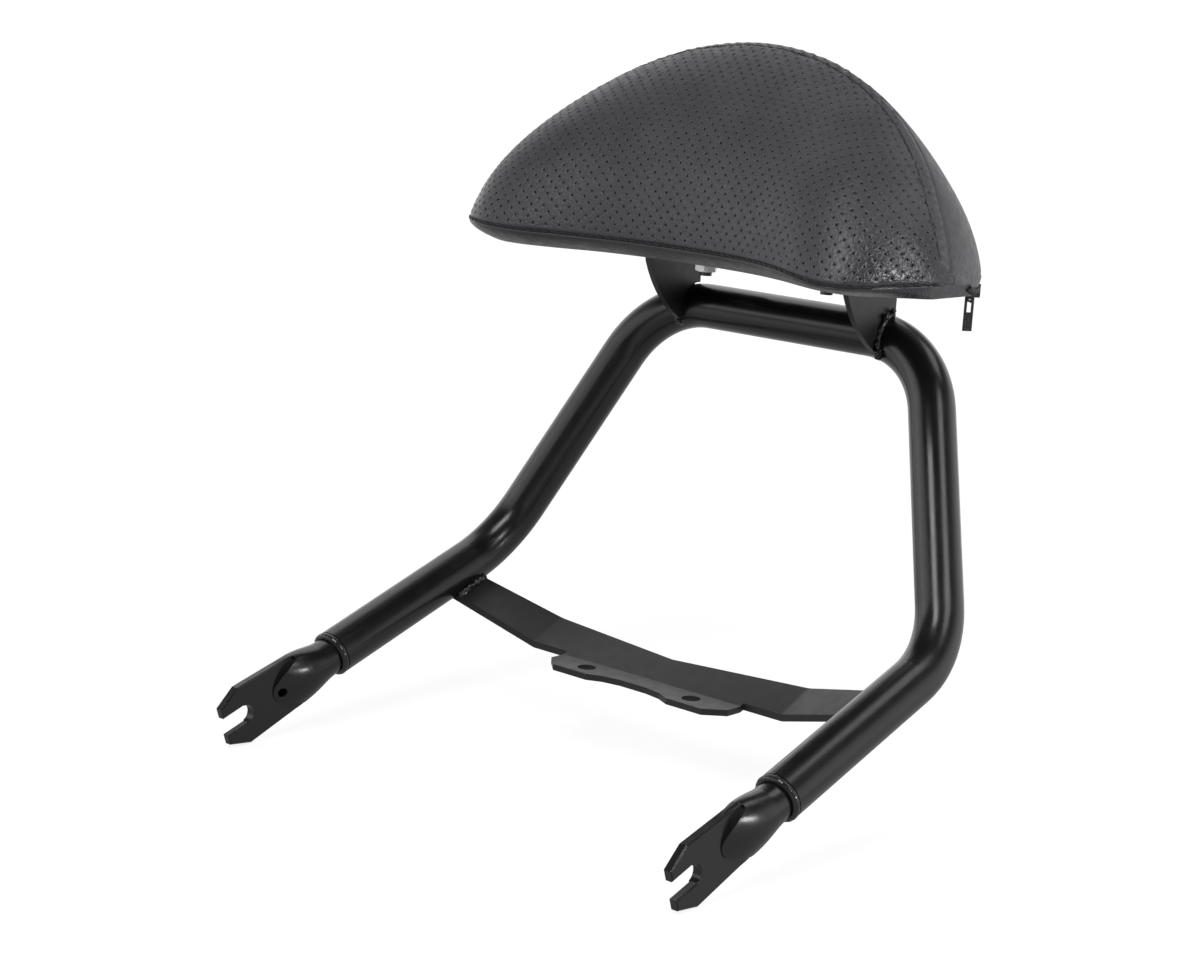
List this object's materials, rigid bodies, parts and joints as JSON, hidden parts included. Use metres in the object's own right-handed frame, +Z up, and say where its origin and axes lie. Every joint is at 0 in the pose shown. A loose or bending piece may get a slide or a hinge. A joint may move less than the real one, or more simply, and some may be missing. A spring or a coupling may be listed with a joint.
{
  "type": "passenger backrest",
  "caption": "Passenger backrest for a motorbike: a bent tube hoop with slotted fork ends, a bolted strap and a half-moon pad in a zipped vinyl cover.",
  "frame": {"origin": "middle of the strap's two bolt holes, on the flange's top face", "axes": "+X to the right across the bike, +Y to the rear and +Z up, with the strap's flange level"},
  "size_m": [0.2966, 0.2485, 0.3407],
  "materials": {
    "black_tube": "satin-gloss black paint on steel tube",
    "black_sheet": "satin black paint on steel sheet",
    "weld_bead": "rippled weld bead under the same black paint",
    "perforated_vinyl": "charcoal vinyl with fine perforations",
    "plain_vinyl": "charcoal vinyl with a soft grain",
    "board": "plain plywood",
    "foam": "open-cell foam",
    "zinc_steel": "bright zinc plate",
    "zip_coil": "black nylon coil",
    "zip_metal": "black enamel on metal"
  },
  "bodies": {
    "backrest": {"frame_tube": "black_tube", "left_fork_end": "black_tube", "right_fork_end": "black_tube", "fork_welds": "weld_bead", "mounting_strap": "black_sheet", "strap_welds": "weld_bead", "left_pad_bracket": "black_sheet", "right_pad_bracket": "black_sheet", "bracket_welds": "weld_bead", "front_cover": "perforated_vinyl", "back_cover": "plain_vinyl", "bottom_cover": "plain_vinyl", "pad_board": "board", "pad_foam": "foam", "pad_bolts": "zinc_steel", "pad_washers": "zinc_steel", "pad_nuts": "zinc_steel", "zip_chain": "zip_coil", "zip_slider": "zip_metal"},
    "pull": {"zip_pull": "zip_metal"}
  },
  "joints": [
    {"name": "pull_swing", "type": "hinge", "parent": "backrest", "child": "pull", "pos_m": [0.11697, 0.07343, 0.1947], "axis": [0.621, 0.7838, 0], "range_deg": [-75, 75]}
  ]
}
